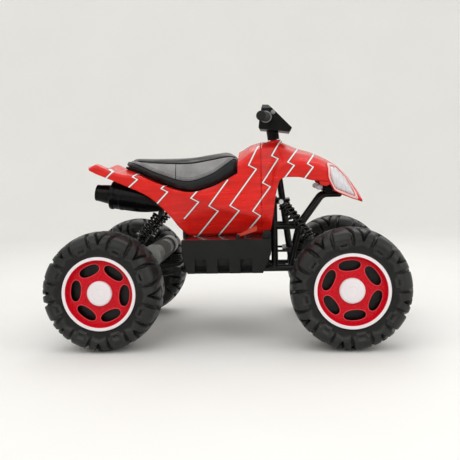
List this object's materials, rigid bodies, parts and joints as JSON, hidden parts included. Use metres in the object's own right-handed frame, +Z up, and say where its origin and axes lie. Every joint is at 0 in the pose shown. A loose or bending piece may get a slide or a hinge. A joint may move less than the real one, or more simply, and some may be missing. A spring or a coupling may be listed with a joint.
{
  "type": "kids quad bike",
  "caption": "Ride-on electric quad bike for a child, with sprung front arms and rear swing arm, steered front wheels, saddle seat and red body shells.",
  "frame": {"origin": "on the ground, midway between the four wheels", "axes": "+X forward, +Y to the rider's left, +Z up"},
  "size_m": [1.0096, 0.65, 0.6838],
  "materials": {
    "tyre_black": "matte",
    "rim_red": "gloss",
    "trim_white": "satin",
    "frame_black": "satin",
    "shock_black": "gloss",
    "steel": "satin",
    "charcoal": "matte",
    "body_red": "gloss",
    "seat_black": "satin",
    "black_plastic": "satin",
    "gloss_black": "gloss",
    "lamp_white": "gloss",
    "lamp_clear": "gloss",
    "grip_rubber": "matte",
    "pedal_orange": "satin",
    "button_grey": "satin",
    "motor_grey": "satin",
    "battery_grey": "matte"
  },
  "bodies": {
    "chassis": {"lower_frame": "frame_black", "front_frame": "frame_black", "upper_frame": "frame_black", "chassis_tub": "charcoal", "battery": "battery_grey", "control_unit": "charcoal", "footboard_left": "charcoal", "footboard_right": "charcoal", "seat_cushion": "seat_black", "seat_base": "black_plastic", "rear_body_shell": "body_red", "front_cowl": "body_red", "headlight_bezels": "lamp_white", "headlight_lenses": "lamp_clear", "mufflers": "gloss_black", "muffler_tips": "gloss_black", "suspension_bolts": "steel"},
    "steering": {"steering_shaft": "frame_black", "handlebar_tube": "frame_black", "handlebar_cover": "black_plastic", "column_shroud": "black_plastic", "grips": "grip_rubber"},
    "horn_button": {"horn_button": "button_grey"},
    "accelerator_pedal": {"accelerator_pedal": "pedal_orange"},
    "rear_swing": {"rear_swing_arm": "frame_black", "rear_axle": "steel", "gearboxes": "motor_grey", "motors": "motor_grey"},
    "rear_shock_upper": {"rear_shock_uppers": "shock_black", "rear_springs": "shock_black"},
    "rear_shock_lower": {"rear_shock_lowers": "shock_black"},
    "front_arm_left": {"front_arm_left": "frame_black"},
    "knuckle_left": {"knuckle_left": "frame_black"},
    "tie_rod_left": {"tie_rod_left": "frame_black"},
    "front_shock_upper_left": {"front_shock_upper_left": "shock_black", "front_spring_left": "shock_black"},
    "front_shock_lower_left": {"front_shock_lower_left": "shock_black"},
    "wheel_front_left": {"tyre_front_left": "tyre_black", "rim_front_left": "rim_red", "wheel_ring_front_left": "trim_white", "hub_cap_front_left": "trim_white"},
    "wheel_rear_left": {"tyre_rear_left": "tyre_black", "rim_rear_left": "rim_red", "wheel_ring_rear_left": "trim_white", "hub_cap_rear_left": "trim_white"},
    "front_arm_right": {"front_arm_right": "frame_black"},
    "knuckle_right": {"knuckle_right": "frame_black"},
    "tie_rod_right": {"tie_rod_right": "frame_black"},
    "front_shock_upper_right": {"front_shock_upper_right": "shock_black", "front_spring_right": "shock_black"},
    "front_shock_lower_right": {"front_shock_lower_right": "shock_black"},
    "wheel_front_right": {"tyre_front_right": "tyre_black", "rim_front_right": "rim_red", "wheel_ring_front_right": "trim_white", "hub_cap_front_right": "trim_white"},
    "wheel_rear_right": {"tyre_rear_right": "tyre_black", "rim_rear_right": "rim_red", "wheel_ring_rear_right": "trim_white", "hub_cap_rear_right": "trim_white"}
  },
  "joints": [
    {"name": "steer", "type": "hinge", "parent": "chassis", "child": "steering", "pos_m": [0.129, 0, 0.646], "axis": [-0.1288, 0, 0.9917], "range_deg": [-22, 22]},
    {"name": "horn_press", "type": "slide", "parent": "steering", "child": "horn_button", "axis": [0, 1, 0], "range_m": [0, 0.0025], "stiffness_N_per_m": 400, "springref_m": -0.001},
    {"name": "pedal_press", "type": "hinge", "parent": "chassis", "child": "accelerator_pedal", "pos_m": [0.033, -0.172, 0.3038], "axis": [0, 1, 0], "range_deg": [0, 14], "stiffness_Nm_per_rad": 0.8, "springref_deg": -14.32},
    {"name": "rear_suspension", "type": "hinge", "parent": "chassis", "child": "rear_swing", "pos_m": [-0.156, 0, 0.193], "axis": [0, 1, 0], "range_deg": [0, 7], "stiffness_Nm_per_rad": 90, "springref_deg": -17.19},
    {"name": "front_suspension_left", "type": "hinge", "parent": "chassis", "child": "front_arm_left", "pos_m": [0.34, 0.06, 0.216], "axis": [1, 0, 0], "range_deg": [0, 7], "stiffness_Nm_per_rad": 40, "springref_deg": -20.05},
    {"name": "knuckle_turn_left", "type": "hinge", "parent": "front_arm_left", "child": "knuckle_left", "pos_m": [0.34, 0.15, 0.165], "axis": [0, 0, 1], "range_deg": [-22, 22]},
    {"name": "tie_rod_turn_left", "type": "hinge", "parent": "knuckle_left", "child": "tie_rod_left", "pos_m": [0.39042, 0.16, 0.224], "axis": [0, 0, 1], "range_deg": [-22, 22]},
    {"name": "front_wheel_spin_left", "type": "hinge", "parent": "knuckle_left", "child": "wheel_front_left", "pos_m": [0.34, 0.25, 0.165], "axis": [0, 1, 0], "continuous": true},
    {"name": "rear_wheel_spin_left", "type": "hinge", "parent": "rear_swing", "child": "wheel_rear_left", "pos_m": [-0.34, 0.25, 0.165], "axis": [0, 1, 0], "continuous": true},
    {"name": "front_shock_swing_left", "type": "hinge", "parent": "chassis", "child": "front_shock_upper_left", "pos_m": [0.157, 0.075, 0.394], "axis": [0.5818, -0.7531, 0.307], "range_deg": [0, 1.23]},
    {"name": "front_shock_slide_left", "type": "slide", "parent": "front_shock_upper_left", "child": "front_shock_lower_left", "axis": [-0.6006, -0.1434, 0.7866], "range_m": [0, 0.0049], "deforming": ["front_spring_left"]},
    {"name": "front_suspension_right", "type": "hinge", "parent": "chassis", "child": "front_arm_right", "pos_m": [0.34, -0.06, 0.216], "axis": [-1, 0, 0], "range_deg": [0, 7], "stiffness_Nm_per_rad": 40, "springref_deg": -20.05},
    {"name": "knuckle_turn_right", "type": "hinge", "parent": "front_arm_right", "child": "knuckle_right", "pos_m": [0.34, -0.15, 0.165], "axis": [0, 0, 1], "range_deg": [-22, 22]},
    {"name": "tie_rod_turn_right", "type": "hinge", "parent": "knuckle_right", "child": "tie_rod_right", "pos_m": [0.39042, -0.16, 0.224], "axis": [0, 0, 1], "range_deg": [-22, 22]},
    {"name": "front_wheel_spin_right", "type": "hinge", "parent": "knuckle_right", "child": "wheel_front_right", "pos_m": [0.34, -0.25, 0.165], "axis": [0, 1, 0], "continuous": true},
    {"name": "rear_wheel_spin_right", "type": "hinge", "parent": "rear_swing", "child": "wheel_rear_right", "pos_m": [-0.34, -0.25, 0.165], "axis": [0, 1, 0], "continuous": true},
    {"name": "front_shock_swing_right", "type": "hinge", "parent": "chassis", "child": "front_shock_upper_right", "pos_m": [0.157, -0.075, 0.394], "axis": [-0.5818, -0.7531, -0.307], "range_deg": [0, 1.23]},
    {"name": "front_shock_slide_right", "type": "slide", "parent": "front_shock_upper_right", "child": "front_shock_lower_right", "axis": [-0.6006, 0.1434, 0.7866], "range_m": [0, 0.0049], "deforming": ["front_spring_right"]},
    {"name": "rear_shock_swing", "type": "hinge", "parent": "chassis", "child": "rear_shock_upper", "pos_m": [-0.205, 0, 0.366], "axis": [0, 1, 0], "range_deg": [0, 1.86]},
    {"name": "rear_shock_slide", "type": "slide", "parent": "rear_shock_upper", "child": "rear_shock_lower", "axis": [0.6585, 0, 0.7526], "range_m": [0, 0.01882], "deforming": ["rear_springs"]}
  ],
  "couplings": [
    {"joint": "knuckle_turn_left", "follows": "steer", "ratio": 1},
    {"joint": "tie_rod_turn_left", "follows": "steer", "ratio": -1},
    {"joint": "front_shock_swing_left", "follows": "front_suspension_left", "ratio": 0.16807},
    {"joint": "front_shock_slide_left", "follows": "front_suspension_left", "m_per_rad": 0.038443},
    {"joint": "knuckle_turn_right", "follows": "steer", "ratio": 1},
    {"joint": "tie_rod_turn_right", "follows": "steer", "ratio": -1},
    {"joint": "front_shock_swing_right", "follows": "front_suspension_right", "ratio": 0.16807},
    {"joint": "front_shock_slide_right", "follows": "front_suspension_right", "m_per_rad": 0.038443},
    {"joint": "rear_shock_swing", "follows": "rear_suspension", "ratio": 0.25898},
    {"joint": "rear_shock_slide", "follows": "rear_suspension", "m_per_rad": 0.15239}
  ]
}
